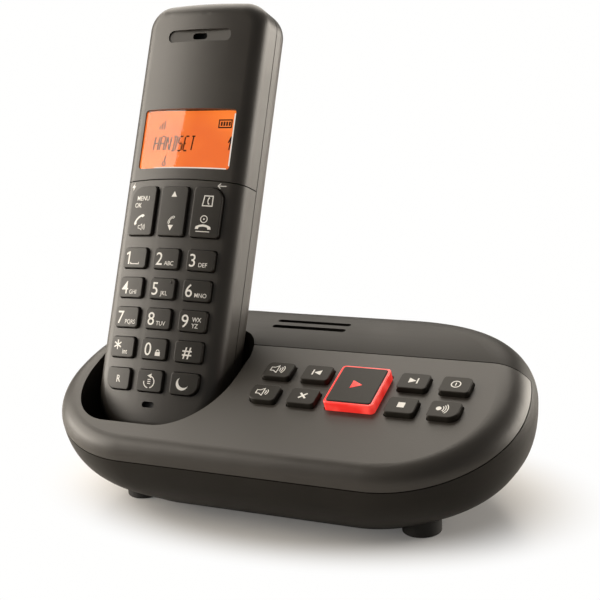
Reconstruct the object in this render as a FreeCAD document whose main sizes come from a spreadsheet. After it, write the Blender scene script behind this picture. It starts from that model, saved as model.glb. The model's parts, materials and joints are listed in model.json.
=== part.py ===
import FreeCAD, Part
import math
import os
import Sketcher
from FreeCAD import Vector

# Cordless telephone answering machine: a charging base with message keys and a handset that stands
# in its cradle. Millimetres, +Z up, the front towards -Y, the origin on the desk under the middle.

SIZES = {
    # Base outline
    "base_width": 172.0,
    "base_depth": 98.0,
    "front_reach": 53.47,
    "shell_wall": 2.2,
    "front_corner": 41.0,
    "rear_corner": 56.0,
    "corner_shrink": 0.6,
    "foot_level": 2.0,
    "flare_height": 36.0,
    "side_flare": 28.0,
    "front_flare": 19.6,
    "rear_flare": 9.0,
    "side_curl": 2.9,
    "end_curl": 3.8,
    "rim_front": 6.0,
    "rim_rear": 20.0,
    "seam_gap": 0.4,
    # Sloping deck: its seam starts at this height on the front edge
    "seam_height": 23.0,
    "deck_tilt": 21.0,
    "deck_rise": 6.5,
    "deck_length": 60.0,
    "band_radius": 70.0,
    # Panel keys
    "panel_key_width": 10.2,
    "panel_key_depth": 7.8,
    "panel_key_corner": 1.3,
    "panel_rear_corner": 2.2,
    "panel_front_corner": 3.4,
    "panel_key_proud": 1.9,
    "panel_column_near": 17.4,
    "panel_column_far": 31.9,
    "panel_row_shift": 6.2,
    "play_across": 30.5,
    "play_along": 39.2,
    "play_width": 17.6,
    "play_depth": 19.6,
    "play_border": 0.8,
    "play_corner": 1.4,
    "play_proud": 3.4,
    "key_gap": 0.3,
    "key_travel": 0.8,
    "flange_lip": 0.9,
    "flange_thick": 1.0,
    "flange_drop": 0.3,
    "key_edge": 0.35,
    "mat_gap": 0.1,
    "mat_thick": 0.7,
    "dome_radius": 2.4,
    "board_thick": 1.6,
    "fit_gap": 0.3,
    # Cradle and its contacts
    "well_left_gap": 3.6,
    "well_right_gap": 5.4,
    "well_rear_ease": 4.0,
    "well_front": 13.9,
    "well_corner": 20.0,
    "well_wall": 2.0,
    "rest_gap": 0.3,
    "back_gap": 0.5,
    "contact_spacing": 16.0,
    "contact_width": 3.0,
    "contact_length": 5.0,
    "contact_margin": 0.4,
    "contact_depth": 0.6,
    # Loudspeaker, sockets, feet and screws
    "slot_length": 29.0,
    "slot_width": 2.3,
    "slot_pitch": 4.9,
    "slot_across": -2.6,
    "slot_along": 15.8,
    "speaker_radius": 13.5,
    "speaker_across": 1.0,
    "speaker_depth": 9.0,
    "speaker_rim": 1.5,
    "speaker_clearance": 2.4,
    "socket_level": 9.0,
    "line_socket_across": -8.0,
    "line_mouth_width": 10.0,
    "line_mouth_height": 7.0,
    "power_socket_across": 14.0,
    "power_socket_width": 9.0,
    "power_bore": 2.8,
    "power_pin": 1.0,
    "socket_length": 13.0,
    "socket_wall": 1.2,
    "foot_radius": 6.5,
    "foot_rounding": 0.6,
    "foot_rise": 8.0,
    "foot_front_inset": 33.0,
    "foot_rear_inset": 38.0,
    "foot_front": 28.5,
    "foot_rear": 72.0,
    "plate_thick": 2.0,
    "screw_radius": 1.4,
    "screw_head_radius": 2.7,
    "screw_head_thick": 1.2,
    "screw_sink": 0.2,
    "pilot_gap": 0.05,
    "lug_height": 9.0,
    "lug_half": 4.0,
    "lug_inset": 48.0,
    "lug_front": 30.0,
    "lug_rear": 72.0,
    # Handset outline
    "handset_across": -46.88,
    "handset_setback": 20.58,
    "handset_height": 23.68,
    "handset_lean": 24.0,
    "handset_length": 161.0,
    "handset_width": 49.6,
    "handset_depth": 25.6,
    "handset_wall": 1.8,
    "crown_radius": 100.0,
    "top_corner": 9.5,
    "bottom_corner": 18.0,
    "front_roll": 6.0,
    "back_roll": 9.0,
    "side_seam": 13.5,
    "cover_seam": 93.4,
    "cover_seam_radius": 350.0,
    # Handset keys
    "key_width": 10.4,
    "key_height": 7.4,
    "key_corner": 1.2,
    "key_proud": 1.3,
    "key_column": 13.6,
    "key_row": 10.8,
    "first_row": 31.7,
    "low_row": 20.4,
    "low_key_height": 7.7,
    "low_outer_corner": 4.0,
    "tall_key_width": 11.0,
    "tall_key_bottom": 72.4,
    "tall_key_top": 90.4,
    "tall_key_spacing": 13.35,
    "tall_outer_corner": 4.8,
    "flange_level": 4.5,
    "handset_mat_level": 6.3,
    "handset_mat_sheet": 7.2,
    "handset_board_level": 8.3,
    "handset_board_thick": 1.3,
    # Display, sound and charging
    "display_centre": 108.6,
    "display_width": 38.0,
    "display_height": 22.2,
    "display_corner": 1.2,
    "display_overlap": 0.7,
    "window_inset": 0.6,
    "window_depth": 5.1,
    "panel_thick": 1.7,
    "earpiece_centre": 147.4,
    "earpiece_width": 26.2,
    "earpiece_height": 4.6,
    "earpiece_recess": 1.3,
    "earpiece_hole_width": 6.0,
    "earpiece_hole_height": 2.4,
    "earpiece_unit_width": 18.0,
    "earpiece_unit_height": 9.0,
    "earpiece_unit_shift": 1.0,
    "mic_centre": 12.1,
    "mic_width": 5.0,
    "mic_height": 2.1,
    "mic_rim": 0.5,
    "mic_thick": 1.0,
    "ringer_centre": 131.0,
    "ringer_radius": 9.5,
    "ringer_depth": 4.0,
    "ringer_slot_length": 10.0,
    "ringer_slot_width": 1.6,
    "ringer_slot_pitch": 3.7,
    # Battery
    "cell_radius": 5.25,
    "cell_length": 44.5,
    "cell_nub_radius": 1.9,
    "cell_nub_length": 1.0,
    "cell_gap": 0.5,
    "cell_centre": 80.5,
    "bay_wall": 1.6,
    "bay_end_room": 1.6,
    "door_lip": 2.0,
    "door_gap": 0.25,
    "bay_seat": 0.5,
    "spring_plate": 0.4,
    "spring_gap": 0.1,
    # Case screws of the handset
    "post_radius": 2.6,
    "post_flange": 1.0,
    "head_well": 4.5,
    "board_edge": 1.4,
    "board_corner": 1.0,
    "low_post_across": 13.0,
    "low_post_along": 12.0,
    "high_post_across": 14.0,
    "high_post_along": 146.0,
}

document = FreeCAD.newDocument("AnsweringMachine")
sheet = document.addObject("Spreadsheet::Sheet", "Sizes")
for row, (alias, number) in enumerate(SIZES.items(), start=1):
    sheet.set(f"A{row}", alias)
    sheet.set(f"B{row}", str(number))
    sheet.setAlias(f"B{row}", alias)
document.recompute()


class Size:
    """A number together with the sheet formula that it comes from."""

    def __init__(self, number, formula):
        self.number = number
        self.formula = formula

    def __float__(self):
        return self.number

    def __add__(self, other):
        other = as_size(other)
        return Size(self.number + other.number, f"({self.formula} + {other.formula})")

    def __sub__(self, other):
        other = as_size(other)
        return Size(self.number - other.number, f"({self.formula} - {other.formula})")

    def __mul__(self, other):
        other = as_size(other)
        return Size(self.number * other.number, f"({self.formula} * {other.formula})")

    def __truediv__(self, other):
        other = as_size(other)
        return Size(self.number / other.number, f"({self.formula} / {other.formula})")

    def __radd__(self, other):
        return as_size(other) + self

    def __rsub__(self, other):
        return as_size(other) - self

    def __rmul__(self, other):
        return as_size(other) * self

    def __neg__(self):
        return as_size(0) - self


def as_size(item):
    if isinstance(item, Size):
        return item
    return Size(float(item), f"({item:.6g})")


def sine(angle):
    return Size(math.sin(math.radians(float(angle))), f"sin({angle.formula})")


def cosine(angle):
    return Size(math.cos(math.radians(float(angle))), f"cos({angle.formula})")


class SheetSizes:
    """Gives each named cell of the sheet as a Size."""

    def __getattr__(self, alias):
        return Size(float(sheet.get(alias)), "Sizes." + alias)


mm = SheetSizes()


def bind(item, field, size):
    item.setExpression(field, as_size(size).formula)


# ---------------------------------------------------------------- frames

# Each frame is an origin and a turn about X. Deck: x right, y up the slope, z out of the deck.
# Handset: x right, y up along the handset, z out of its face. Cradle: z up along the handset.
DECK = (0, -mm.front_reach, mm.seam_height, mm.deck_tilt)
HANDSET_FOOT = (mm.handset_across, mm.handset_setback - mm.front_reach, mm.handset_height)
HANDSET = (*HANDSET_FOOT, 90 - mm.handset_lean)
CRADLE = (*HANDSET_FOOT, -mm.handset_lean)


def place(item, frame):
    x, y, z, turn = (as_size(number).formula for number in frame)
    origin = f"create(<<vector>>; {x}; {y}; {z})"
    rotation = f"create(<<rotation>>; create(<<vector>>; 1; 0; 0); {turn})"
    item.setExpression("Placement", f"create(<<placement>>; {origin}; {rotation})")
    return item


# ---------------------------------------------------------------- shape helpers

def block(name, x, y, z):
    """A square-edged box between a low and a high limit along each axis."""
    box = document.addObject("Part::Box", name)
    for axis, side, (low, high) in zip("xyz", ("Length", "Width", "Height"), (x, y, z)):
        bind(box, side, as_size(high) - low)
        bind(box, "Placement.Base." + axis, low)
    return box


def rod(name, radius, x, y, z):
    """An upright cylinder at x, y between two levels."""
    cylinder = document.addObject("Part::Cylinder", name)
    bind(cylinder, "Radius", radius)
    bind(cylinder, "Height", as_size(z[1]) - z[0])
    bind(cylinder, "Placement.Base.x", x)
    bind(cylinder, "Placement.Base.y", y)
    bind(cylinder, "Placement.Base.z", z[0])
    return cylinder


def lying_rod(name, radius, x, y, z):
    """A cylinder along Y at x, z between two limits."""
    cylinder = rod(name, radius, x, y[0], (0, as_size(y[1]) - y[0]))
    turn = "create(<<rotation>>; create(<<vector>>; 1; 0; 0); -90)"
    origin = "; ".join(as_size(number).formula for number in (x, y[0], z))
    for axis in "xyz":
        cylinder.setExpression("Placement.Base." + axis, None)
    cylinder.setExpression("Placement", f"create(<<placement>>; create(<<vector>>; {origin}); {turn})")
    return cylinder


def rounded_outline(body, x, y, level, corners):
    """A sketched rectangle with four corner radii, anticlockwise from the lower right one."""
    sketch = body.newObject("Sketcher::SketchObject", body.Name + "_outline")
    plane = [feature for feature in body.Origin.OriginFeatures if feature.Role == "XY_Plane"][0]
    sketch.AttachmentSupport = [(plane, "")]
    sketch.MapMode = "FlatFace"
    (left, right), (low, high) = [(as_size(a), as_size(b)) for a, b in (x, y)]
    bind(sketch, "AttachmentOffset.Base.x", (left + right) / 2)
    bind(sketch, "AttachmentOffset.Base.y", (low + high) / 2)
    bind(sketch, "AttachmentOffset.Base.z", level)
    half = {"lower": (high - low) / 2, "right": (right - left) / 2}
    half["upper"] = half["lower"]
    half["left"] = half["right"]
    across = float(half["right"])
    along = float(half["lower"])
    r1, r2, r3, r4 = (float(radius) for radius in corners)

    def side(x1, y1, x2, y2):
        return Part.LineSegment(Vector(x1, y1, 0), Vector(x2, y2, 0))

    def corner(cx, cy, radius, start):
        circle = Part.Circle(Vector(cx, cy, 0), Vector(0, 0, 1), radius)
        return Part.ArcOfCircle(circle, math.radians(start), math.radians(start + 90))

    sketch.addGeometry([
        side(r4 - across, -along, across - r1, -along),
        side(across, r1 - along, across, along - r2),
        side(across - r2, along, r3 - across, along),
        side(-across, along - r3, -across, r4 - along),
        corner(across - r1, r1 - along, r1, -90),
        corner(across - r2, along - r2, r2, 0),
        corner(r3 - across, along - r3, r3, 90),
        corner(r4 - across, r4 - along, r4, 180),
    ], False)
    for index, edge in enumerate(("lower", "right", "upper", "left")):
        distance = half[edge]
        reach = Sketcher.Constraint("Distance", -1, 1, index, float(distance))
        reach.Name = edge
        bend = Sketcher.Constraint("Radius", index + 4, float(corners[index]))
        bend.Name = edge + "_corner"
        sketch.addConstraint([
            Sketcher.Constraint("Tangent", index, 2, index + 4, 1),
            Sketcher.Constraint("Tangent", index + 4, 2, (index + 1) % 4, 1),
            Sketcher.Constraint("Vertical" if index % 2 else "Horizontal", index),
            reach,
            bend,
        ])
        bind(sketch, "Constraints." + edge, distance)
        bind(sketch, "Constraints." + edge + "_corner", corners[index])
    return sketch


def slab(name, x, y, z, corners):
    """A rounded rectangle padded between two levels; corners is one radius or a list of four."""
    body = document.addObject("PartDesign::Body", name)
    if not isinstance(corners, (list, tuple)):
        corners = [corners] * 4
    sketch = rounded_outline(body, x, y, z[0], corners)
    pad = body.newObject("PartDesign::Pad", name + "_pad")
    pad.Profile = sketch
    bind(pad, "Length", as_size(z[1]) - z[0])
    return body


def group(name, items):
    compound = document.addObject("Part::Compound", name)
    compound.Links = items
    return compound


def join(name, items):
    fuse = document.addObject("Part::MultiFuse", name)
    fuse.Shapes = items
    return fuse


def overlap(name, items):
    common = document.addObject("Part::MultiCommon", name)
    common.Shapes = items
    return common


def cut(name, base, tool):
    result = document.addObject("Part::Cut", name)
    result.Base = base
    result.Tool = tool
    return result


def shaped(name, shape):
    feature = document.addObject("Part::Feature", name)
    feature.Shape = shape
    return feature


def fillet(name, base, radii):
    """Rounds edges of base: radii gives an edge's two end radii, or None to leave it sharp."""
    base.recompute(True)
    result = document.addObject("Part::Fillet", name)
    result.Base = base
    chosen = []
    for number, edge in enumerate(base.Shape.Edges, start=1):
        ends = radii(edge)
        if ends:
            chosen.append((number, ends[0], ends[1]))
    result.Edges = chosen
    return result


nodes = {}


def finish(node, item, frame=None):
    """Names a finished sub-part and sets it in its frame."""
    item.Label = node
    if frame:
        place(item, frame)
    nodes[node] = item


# ---------------------------------------------------------------- base shell

# Levels of the hull's outlines as shares of the flare's height, closer together where it curls in
LOFT_SHARES = (0, 0.2, 0.45, 0.78, 1.2, 1.75)
# The band behind the deck is cut round to this angle, which lies well past the rear wall
BAND_SWEEP = 65.0


def level_outline(level, inset):
    """One horizontal outline of the hull; the flare curls in towards the desk by a power law."""
    climb = max(0.0, 1 - (level - float(mm.foot_level)) / float(mm.flare_height))
    side = float(mm.side_flare) * climb ** float(mm.side_curl)
    ends = climb ** float(mm.end_curl)
    half = float(mm.base_width) / 2 - side - inset
    front = float(mm.front_flare) * ends + inset - float(mm.front_reach)
    rear = float(mm.base_depth) - float(mm.rear_flare) * ends - inset - float(mm.front_reach)
    shrink = float(mm.corner_shrink) * side + inset
    front_radius = float(mm.front_corner) - shrink
    rear_radius = float(mm.rear_corner) - shrink

    def side_line(x1, y1, x2, y2):
        return Part.LineSegment(Vector(x1, y1, level), Vector(x2, y2, level)).toShape()

    def corner(cx, cy, radius, start):
        circle = Part.Circle(Vector(cx, cy, level), Vector(0, 0, 1), radius)
        return Part.Arc(circle, math.radians(start), math.radians(start + 90)).toShape()

    return Part.Wire([
        side_line(front_radius - half, front, half - front_radius, front),
        corner(half - front_radius, front + front_radius, front_radius, -90),
        side_line(half, front + front_radius, half, rear - rear_radius),
        corner(half - rear_radius, rear - rear_radius, rear_radius, 0),
        side_line(half - rear_radius, rear, rear_radius - half, rear),
        corner(rear_radius - half, rear - rear_radius, rear_radius, 90),
        side_line(-half, rear - rear_radius, -half, front + front_radius),
        corner(front_radius - half, front + front_radius, front_radius, 180),
    ])


def hull(name, inset):
    """The hull as a loft from the foot level to well above the deck, drawn in by inset."""
    outlines = []
    for share in LOFT_SHARES:
        level = float(mm.foot_level) + share * float(mm.flare_height)
        outlines.append(level_outline(level, float(inset)))
    return shaped(name, Part.makeLoft(outlines, True, False))


def above_deck(name, inset):
    """Everything over the panel plane and over the round band behind it, in the deck frame."""
    level = float(mm.deck_rise) - float(inset)
    radius = float(mm.band_radius) - float(inset)
    far = float(mm.deck_length)
    reach = float(mm.base_width)

    def on_band(angle):
        turn = math.radians(angle)
        return Vector(-reach, far + radius * math.sin(turn), level - radius + radius * math.cos(turn))

    start = Vector(-reach, -reach, level)
    bend = on_band(0)
    end = on_band(BAND_SWEEP)
    lid = Vector(0, 0, reach)
    outline = Part.Wire([
        Part.LineSegment(start, bend).toShape(),
        Part.Arc(bend, on_band(BAND_SWEEP / 2), end).toShape(),
        Part.LineSegment(end, end + lid).toShape(),
        Part.LineSegment(end + lid, start + lid).toShape(),
        Part.LineSegment(start + lid, start).toShape(),
    ])
    return place(shaped(name, Part.Face(outline).extrude(Vector(2 * reach, 0, 0))), DECK)


def base_form(name, inset):
    """The closed base, with a rim that rounds more and more towards the rear."""
    rough = cut(name + "_rough", hull(name + "_hull", inset), above_deck(name + "_above", inset))
    rough.recompute(True)
    tops = [face for face in rough.Shape.Faces
            if face.Surface.TypeId in ("Part::GeomPlane", "Part::GeomCylinder")
            and face.CenterOfMass.z > float(mm.seam_height)]

    def rim_radius(point):
        share = (point.y + float(mm.front_reach)) / float(mm.base_depth)
        full = float(mm.rim_front) + (float(mm.rim_rear) - float(mm.rim_front)) * share
        return full - float(inset)

    def rim(edge):
        sides = [face for face in tops if any(edge.isSame(other) for other in face.Edges)]
        if len(sides) != 1:
            return None
        return [rim_radius(edge.valueAt(end)) for end in (edge.FirstParameter, edge.LastParameter)]

    return fillet(name, rough, rim)


def wide(low, high):
    """A deck-frame region as wide as the base: limits up the slope and out of the deck."""
    return (-mm.base_width, mm.base_width), low, high


base_outer = base_form("base_outer", 0)
base_inner = base_form("base_inner", mm.shell_wall)
base_skin = cut("base_skin", base_outer, base_inner)
base_clear = hull("base_clear", mm.shell_wall + mm.fit_gap)
half_seam = mm.seam_gap / 2


def deck_region(name, gap):
    """The part of the base above the seam and in front of the band, cut back by gap."""
    x, y, z = wide((-mm.base_width, mm.deck_length - gap), (gap, mm.base_width))
    return place(group(name, [block(name + "_block", x, y, z)]), DECK)


def well_form(name, wall):
    """The straight shaft that takes the handset, grown by wall; its rear corners hug the handset."""
    x = (-mm.handset_width / 2 - mm.well_left_gap - wall, mm.handset_width / 2 + mm.well_right_gap + wall)
    y = (-mm.well_front - wall, mm.handset_depth + mm.back_gap + wall)
    front = mm.well_corner + wall
    rear = mm.back_roll + mm.well_rear_ease + wall
    shaft = slab(name, x, y, (-mm.rest_gap - wall, mm.handset_length / 2), [front, rear, rear, front])
    return place(shaft, CRADLE)


# The shaft follows the hull where the hull is closer.
well_hollow = overlap("well_hollow", [
    well_form("well_shaft", as_size(0)),
    hull("well_hull", mm.shell_wall + mm.fit_gap + mm.well_wall),
])
well_block = well_form("well_block", mm.well_wall)


def below_band(name):
    """Everything in front of the band's seam."""
    x, y, z = wide((-mm.base_width, mm.deck_length - half_seam), (-mm.base_width, mm.base_width))
    return place(group(name, [block(name + "_block", x, y, z)]), DECK)


def behind_seam(name):
    """Everything behind the band's seam."""
    x, y, z = wide((mm.deck_length + half_seam, 2 * mm.base_width), (-mm.base_width, mm.base_width))
    return place(group(name, [block(name + "_block", x, y, z)]), DECK)


# ---------------------------------------------------------------- panel keys

panel_top = mm.deck_rise + mm.panel_key_proud
panel_ceiling = mm.deck_rise - mm.shell_wall
panel_flange_top = panel_ceiling - mm.flange_drop
panel_flange_bottom = panel_flange_top - mm.flange_thick
panel_dome_top = panel_flange_bottom - mm.key_travel - mm.mat_gap


def spread(centre, span):
    return (centre - span / 2, centre + span / 2)


def grow(limits, amount):
    return (limits[0] - amount, limits[1] + amount)


def middle(limits):
    return (limits[0] + limits[1]) / 2


def panel_key_place(column, row):
    shift = {1: mm.panel_column_near, 2: mm.panel_column_far}[abs(column)]
    across = mm.play_across + (shift if column > 0 else -shift)
    along = mm.play_along + mm.panel_row_shift * row
    return spread(across, mm.panel_key_width), spread(along, mm.panel_key_depth)


# Each panel key's column and row from the play key, and its corner radii
small = mm.panel_key_corner
PANEL_KEYS = {
    "volume_up_key": (-2, 1, [small, small, mm.panel_rear_corner, small]),
    "volume_down_key": (-2, -1, [small, small, small, mm.panel_front_corner]),
    "skip_back_key": (-1, 1, [small] * 4),
    "delete_key": (-1, -1, [small] * 4),
    "skip_forward_key": (1, 1, [small] * 4),
    "stop_key": (1, -1, [small] * 4),
    "power_key": (2, 1, [small, mm.panel_rear_corner, small, small]),
    "handset_finder_key": (2, -1, [mm.panel_front_corner, small, small, small]),
}


# An edge this close to a level or a surface lies in it
SAME_PLACE = 0.01


def top_rim(level):
    """Picks the edges that lie in the plane z = level."""
    def radii(edge):
        box = edge.BoundBox
        if max(abs(box.ZMin - float(level)), abs(box.ZMax - float(level))) < SAME_PLACE:
            return [float(mm.key_edge)] * 2
        return None
    return radii


def panel_cap(name, x, y, corners, top):
    """A key cap with the flange that holds it under the panel."""
    cap = slab(name + "_cap", x, y, (panel_flange_bottom, top), corners)
    flange = slab(name + "_flange", grow(x, mm.flange_lip), grow(y, mm.flange_lip),
                  (panel_flange_bottom, panel_flange_top), corners)
    whole = join(name + "_whole", [cap, flange])
    return fillet(name, whole, top_rim(top))


def make_panel_keys():
    """Eight small keys; returns their holes."""
    holes = []
    for name, (column, row, corners) in PANEL_KEYS.items():
        x, y = panel_key_place(column, row)
        finish(name, panel_cap(name, x, y, corners, panel_top), DECK)
        holes.append(slab(name + "_hole", grow(x, mm.key_gap), grow(y, mm.key_gap),
                          (0, 2 * panel_top), corners))
    return holes


def make_play_key():
    """The play key and the lit frame round it, which travels with the key; returns the hole."""
    x = spread(mm.play_across, mm.play_width)
    y = spread(mm.play_along, mm.play_depth)
    play_top = mm.deck_rise + mm.play_proud
    frame_top = play_top - mm.key_edge
    corner = mm.play_corner
    ring = panel_cap("play_ring", x, y, [corner] * 4, frame_top)
    inner_x = grow(x, -mm.play_border)
    inner_y = grow(y, -mm.play_border)
    inner_corner = corner - mm.play_border / 2
    bore = slab("play_bore", inner_x, inner_y, (0, 2 * play_top), inner_corner)
    finish("play_light_frame", cut("play_light_frame", ring, bore), DECK)
    slack = mm.mat_gap / 2
    cap = slab("play_cap", grow(inner_x, -slack), grow(inner_y, -slack),
               (panel_flange_bottom, play_top), inner_corner)
    finish("play_key", fillet("play_key", cap, top_rim(play_top)), DECK)
    return slab("play_hole", grow(x, mm.key_gap), grow(y, mm.key_gap), (0, 2 * play_top), corner)


def make_key_board():
    """The silicone mat with a dome under each key, and the circuit board below it."""
    left = mm.play_across - mm.panel_column_far - mm.panel_key_width
    right = mm.play_across + mm.panel_column_far + mm.panel_key_width
    low = mm.play_along - 2 * mm.panel_key_depth
    high = mm.play_along + mm.panel_row_shift + mm.panel_key_depth
    sheet_bottom = mm.mat_gap + mm.mat_thick
    sheet_top = sheet_bottom + mm.mat_thick
    mat = slab("mat_sheet", (left, right), (low, high), (sheet_bottom, sheet_top), small)
    domes = [rod("play_dome", mm.dome_radius, mm.play_across, mm.play_along, (sheet_bottom, panel_dome_top))]
    for name, (column, row, corners) in PANEL_KEYS.items():
        x, y = panel_key_place(column, row)
        domes.append(rod(name + "_dome", mm.dome_radius, middle(x), middle(y),
                         (sheet_bottom, panel_dome_top)))
    finish("base_keypad_mat", join("base_keypad_mat", [mat] + domes), DECK)
    board_top = sheet_bottom - mm.mat_gap
    board = slab("base_board", grow((left, right), small), grow((low, high), small),
                 (board_top - mm.board_thick, board_top), small)
    finish("base_circuit_board", board, DECK)


panel_holes = make_panel_keys() + [make_play_key()]
make_key_board()


# ---------------------------------------------------------------- covers of the base

SIDES = ((-1, "left"), (1, "right"))
# The charging contacts lie just behind the seam of the handset's shells
contact_level = mm.side_seam + half_seam + mm.contact_margin + mm.contact_length / 2


def contact_slots(name, gap):
    """Two blocks for the cradle's charging springs, grown by gap, in the cradle frame."""
    blocks = []
    for side, label in SIDES:
        x = grow(spread(side * mm.contact_spacing / 2, mm.contact_width), gap)
        y = grow(spread(contact_level, mm.contact_length), gap)
        blocks.append(block(f"{name}_{label}", x, y, (-mm.rest_gap - 2 * mm.well_wall, -mm.rest_gap / 2)))
    return blocks


def make_front_cover():
    """The disc-shaped cover with the key panel and the front of the cradle well."""
    skin = overlap("cover_skin", [base_skin, deck_region("cover_region", half_seam)])
    cup = overlap("cover_cup", [well_block, base_outer, base_clear, below_band("cup_region")])
    cover = join("cover_whole", [skin, cup])
    holes = place(group("panel_holes", panel_holes), DECK)
    springs = place(group("spring_slots", contact_slots("spring_slot", mm.mat_gap)), CRADLE)
    open_cover = cut("cover_open", cut("cover_welled", cover, well_hollow), holes)
    finish("base_front_cover", cut("base_front_cover", open_cover, springs))
    contacts = join("charging_contacts", contact_slots("charging_spring", 0))
    finish("charging_contacts", contacts, CRADLE)


def lug_places():
    """Each bottom screw's side, place and label."""
    across = mm.base_width / 2 - mm.lug_inset
    for side, label in SIDES:
        yield side, side * across, mm.lug_front - mm.front_reach, "front_" + label
        yield side, side * across, mm.lug_rear - mm.front_reach, "rear_" + label


plate_top = mm.foot_level + mm.plate_thick
lug_top = plate_top + mm.lug_height


def make_lugs():
    """Four shelves on the hull's wall that take the bottom screws."""
    lugs = []
    bores = []
    for side, x, y, label in lug_places():
        inner = x - side * mm.lug_half
        wide_x = (inner, mm.base_width) if side > 0 else (-mm.base_width, inner)
        lugs.append(block("lug_" + label, wide_x, grow((y, y), mm.lug_half),
                          (plate_top + mm.fit_gap, lug_top)))
        bores.append(rod("lug_bore_" + label, mm.screw_radius + mm.pilot_gap, x, y, (0, 2 * lug_top)))
    return overlap("lugs_in_hull", [group("lugs", lugs), base_outer]), group("lug_bores", bores)


line_socket_x = spread(mm.line_socket_across, mm.line_mouth_width + 2 * mm.socket_wall)
power_socket_x = spread(mm.power_socket_across, mm.power_socket_width)
socket_z = (mm.socket_level, mm.socket_level + mm.line_mouth_height + 2 * mm.socket_wall)
rear_wall = mm.base_depth - mm.front_reach
socket_back = rear_wall - mm.rear_flare / 2
socket_y = (socket_back - mm.socket_length, socket_back)


def socket_holes():
    """Openings in the rear wall for the two sockets."""
    y = (rear_wall - mm.socket_length, 2 * rear_wall)
    z = grow(socket_z, mm.mat_gap)
    return group("socket_holes", [
        block("line_hole", grow(line_socket_x, mm.mat_gap), y, z),
        block("power_hole", grow(power_socket_x, mm.mat_gap), y, z),
    ])


def round_end(width):
    """The corner radius that makes a slot's end round and leaves a sliver of straight edge."""
    return width / 2.05


def band_frame(drop):
    """A frame on the band at the slots, drop below its surface, as an origin and a turn."""
    angle = mm.slot_along * (180 / math.pi) / mm.band_radius
    radius = mm.band_radius - drop
    along = mm.deck_length + radius * sine(angle)
    out = mm.deck_rise - mm.band_radius + radius * cosine(angle)
    y = along * cosine(mm.deck_tilt) - out * sine(mm.deck_tilt) - mm.front_reach
    z = along * sine(mm.deck_tilt) + out * cosine(mm.deck_tilt) + mm.seam_height
    return (0, y, z, mm.deck_tilt - angle)


def speaker_slots():
    """Two long slots side by side across the band."""
    slots = []
    for step, label in ((-0.5, "front"), (0.5, "rear")):
        slots.append(slab("slot_" + label, spread(mm.slot_across, mm.slot_length),
                          spread(step * mm.slot_pitch, mm.slot_width),
                          (-2 * mm.shell_wall, mm.shell_wall), round_end(mm.slot_width)))
    return place(group("speaker_slots", slots), band_frame(as_size(0)))


def make_rear_housing():
    """The dark hull and the band behind the deck in one piece."""
    skin = cut("housing_skin", base_skin, deck_region("housing_region", -half_seam))
    recess = overlap("housing_recess", [well_block, base_outer, base_clear, behind_seam("recess_region")])
    lugs, bores = make_lugs()
    whole = join("housing_whole", [skin, recess, lugs])
    welled = cut("housing_welled", whole, well_hollow)
    bored = cut("housing_bored", welled, bores)
    slotted = cut("housing_slotted", bored, speaker_slots())
    finish("base_rear_housing", cut("base_rear_housing", slotted, socket_holes()))


def make_bottom_plate():
    """The plate that closes the hull, its four screws and four rubber feet."""
    margin = mm.shell_wall + mm.fit_gap
    foot_half = mm.base_width / 2 - mm.side_flare - margin
    front = mm.front_flare + margin - mm.front_reach
    rear = rear_wall - mm.rear_flare - margin
    shrink = mm.corner_shrink * mm.side_flare + margin
    front_radius = mm.front_corner - shrink
    rear_radius = mm.rear_corner - shrink
    plate = slab("plate_sheet", (-foot_half, foot_half), (front, rear), (mm.foot_level, plate_top),
                 [front_radius, rear_radius, rear_radius, front_radius])
    holes = []
    screws = []
    head_z = (mm.foot_level + mm.screw_sink, mm.foot_level + mm.screw_sink + mm.screw_head_thick)
    for side, x, y, label in lug_places():
        holes.append(rod("plate_hole_" + label, mm.screw_radius + mm.mat_gap, x, y, (0, 2 * plate_top)))
        holes.append(rod("plate_sink_" + label, mm.screw_head_radius + mm.mat_gap, x, y, (0, head_z[1])))
        screws.append(rod("screw_head_" + label, mm.screw_head_radius, x, y, head_z))
        screws.append(rod("screw_shank_" + label, mm.screw_radius, x, y,
                          (head_z[0], lug_top - mm.screw_head_thick)))
    finish("base_bottom_plate", cut("base_bottom_plate", plate, join("plate_holes", holes)))
    finish("base_screws", join("base_screws", screws))


def make_feet():
    """Four rubber feet with a rounded rim; each rises to the hull that flares over it."""
    def lower_rim(edge):
        return [float(mm.foot_rounding)] * 2 if edge.BoundBox.ZMax < SAME_PLACE else None

    feet = []
    for side, side_label in SIDES:
        for inset, y, end_label in ((mm.foot_front_inset, mm.foot_front, "front"),
                                    (mm.foot_rear_inset, mm.foot_rear, "rear")):
            label = f"{end_label}_{side_label}"
            x = side * (mm.base_width / 2 - inset)
            foot = rod("foot_" + label, mm.foot_radius, x, y - mm.front_reach, (0, mm.foot_rise))
            feet.append(fillet("foot_round_" + label, foot, lower_rim))
    finish("rubber_feet", cut("rubber_feet", group("foot_rods", feet), base_outer))


def make_loudspeaker():
    """A cone driver under the slots with its magnet behind, facing along the band's normal."""
    cup = rod("speaker_cup", mm.speaker_radius, mm.speaker_across, 0, (-mm.speaker_depth / 2, 0))
    magnet = rod("speaker_magnet", mm.speaker_radius / 2, mm.speaker_across, 0, (-mm.speaker_depth, 0))
    cone = document.addObject("Part::Cone", "speaker_cone")
    bind(cone, "Radius1", mm.speaker_radius / 3)
    bind(cone, "Radius2", mm.speaker_radius - mm.speaker_rim)
    bind(cone, "Height", mm.speaker_depth / 3)
    bind(cone, "Placement.Base.x", mm.speaker_across)
    bind(cone, "Placement.Base.z", -mm.speaker_depth / 3)
    speaker = cut("loudspeaker", join("speaker_body", [cup, magnet]), cone)
    finish("loudspeaker", speaker, band_frame(mm.shell_wall + mm.speaker_clearance))


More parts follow.
